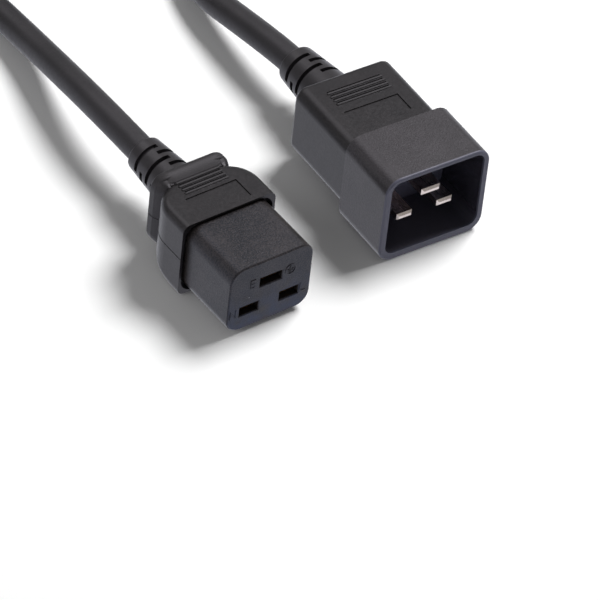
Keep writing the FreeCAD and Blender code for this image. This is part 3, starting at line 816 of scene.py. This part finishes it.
stage = {
    "floorSize": 6.0,
    "floorColour": "#f0f0f0",
    "floorSeen": "#ffffff",  # the eye sees the paper as plain white
    "floorMirrored": "#f4f6ff",
    "skyColour": "#ffffff",
    "skyStrength": 0.17,
    "skyMirrored": 0.35,     # the strength that glossy rays see
    "softboxMirrored": 1.8,  # the same in the middle of a soft light, high up behind the object
    "softboxDirection": (-0.05, 0.57, 0.80),
    "softboxSpread": (28.0, 6.0),    # degrees from its middle to its dim and bright edges
    "keyDirection": (0.57, 0.084, 0.82),
    "keyDistance": 1.3,      # metres, and watts for the power
    "keySize": 0.6,
    "keyPower": 19.5,
    "fillDirection": (-0.85, 0.15, 0.4),
    "fillDistance": 1.1,
    "fillSize": 0.9,
    "fillPower": 2.5,
    "target": (0.03, 0.0, 0.01),
}


def paperFloor(settings):
    # white paper to the eye, plain white in reflections, a shade darker where it throws light back
    material, tree = blankMaterial("whitePaper")
    path = addNode(tree, "LightPath")
    eye = addNode(tree, "Math", {0: path.outputs["Is Camera Ray"], 1: path.outputs["Is Transmission Ray"]},
                  operation="MAXIMUM")
    plain = addNode(tree, "BsdfDiffuse", {"Color": settings["floorColour"]})
    white = addNode(tree, "BsdfDiffuse", {"Color": settings["floorSeen"]})
    mirrored = addNode(tree, "Emission", {"Color": settings["floorMirrored"], "Strength": 1.0})
    seen = addNode(tree, "MixShader", {0: eye, 1: plain, 2: white})
    surface = addNode(tree, "MixShader", {0: path.outputs["Is Glossy Ray"], 1: seen, 2: mirrored})
    addNode(tree, "OutputMaterial", {"Surface": surface})
    half = settings["floorSize"] / 2
    sheet = bpy.data.meshes.new("paper_floor")
    corners = [(-half, -half, 0), (half, -half, 0), (half, half, 0), (-half, half, 0)]
    sheet.from_pydata(corners, [], [(0, 1, 2, 3)])
    sheet.materials.append(material)
    floor = bpy.data.objects.new("paper_floor", sheet)
    bpy.context.scene.collection.objects.link(floor)


def softLamp(name, settings):
    lamp = bpy.data.lights.new(name + "Lamp", "AREA")
    lamp.shape = "DISK"
    lamp.size = settings[name + "Size"]
    lamp.energy = settings[name + "Power"]
    holder = bpy.data.objects.new(name + "Lamp", lamp)
    toLamp = Vector(settings[name + "Direction"]).normalized()
    holder.location = Vector(settings["target"]) + toLamp * settings[name + "Distance"]
    holder.rotation_euler = toLamp.to_track_quat("Z", "Y").to_euler()
    bpy.context.scene.collection.objects.link(holder)


def studio(settings):
    paperFloor(settings)
    world = bpy.data.worlds.new("studioSky")
    bpy.context.scene.world = world
    world.use_nodes = True
    tree = world.node_tree
    tree.nodes.clear()
    dim = addNode(tree, "Background", {"Color": settings["skyColour"], "Strength": settings["skyStrength"]})
    white = addNode(tree, "Background", {"Color": settings["skyColour"], "Strength": 1.0})
    outward = addNode(tree, "TexCoord").outputs["Generated"]
    aim = Vector(settings["softboxDirection"]).normalized()
    near = addNode(tree, "VectorMath", {0: outward, 1: aim}, operation="DOT_PRODUCT").outputs["Value"]
    dimEdge, brightEdge = (math.cos(math.radians(angle)) for angle in settings["softboxSpread"])
    glow = addNode(tree, "MapRange", {"Value": near, "From Min": dimEdge, "From Max": brightEdge,
                                      "To Min": settings["skyMirrored"],
                                      "To Max": settings["softboxMirrored"]},
                   interpolation_type="SMOOTHSTEP")
    mirrored = addNode(tree, "Background", {"Color": settings["skyColour"], "Strength": glow})
    path = addNode(tree, "LightPath")
    unseen = addNode(tree, "MixShader", {0: path.outputs["Is Glossy Ray"], 1: dim, 2: mirrored})
    every = addNode(tree, "MixShader", {0: path.outputs["Is Camera Ray"], 1: unseen, 2: white})
    addNode(tree, "OutputWorld", {"Surface": every})
    softLamp("key", settings)
    softLamp("fill", settings)


studio(stage)

camera = {
    "location": (-0.75094, -0.9480, 1.08329),
    "heading": -39.687,      # degrees round Z
    "height": 42.165,        # degrees above the floor
    "roll": 6.709,
    "lens": 360.0,           # mm, a long lens, so that the sides stay nearly parallel
    "sensor": 36.0,
    "clip": (0.05, 20.0),
}


def makeCamera(settings):
    heading, height, roll = (math.radians(settings[name]) for name in ("heading", "height", "roll"))
    level = math.cos(height)
    back = Vector((math.sin(heading) * level, -math.cos(heading) * level, math.sin(height)))
    right = Vector((math.cos(heading), math.sin(heading), 0.0))
    up = back.cross(right)
    across = right * math.cos(roll) + up * math.sin(roll)
    upward = up * math.cos(roll) - right * math.sin(roll)
    lens = bpy.data.cameras.new("camera")
    lens.lens = settings["lens"]
    lens.sensor_width = settings["sensor"]
    lens.clip_start, lens.clip_end = settings["clip"]
    holder = bpy.data.objects.new("camera", lens)
    turn = Matrix((across, upward, back)).transposed()
    holder.matrix_world = Matrix.Translation(settings["location"]) @ turn.to_4x4()
    bpy.context.scene.collection.objects.link(holder)
    bpy.context.scene.camera = holder


makeCamera(camera)
bpy.context.scene.view_settings.view_transform = "Standard"
print("stage and camera set")

bpy.context.view_layer.update()
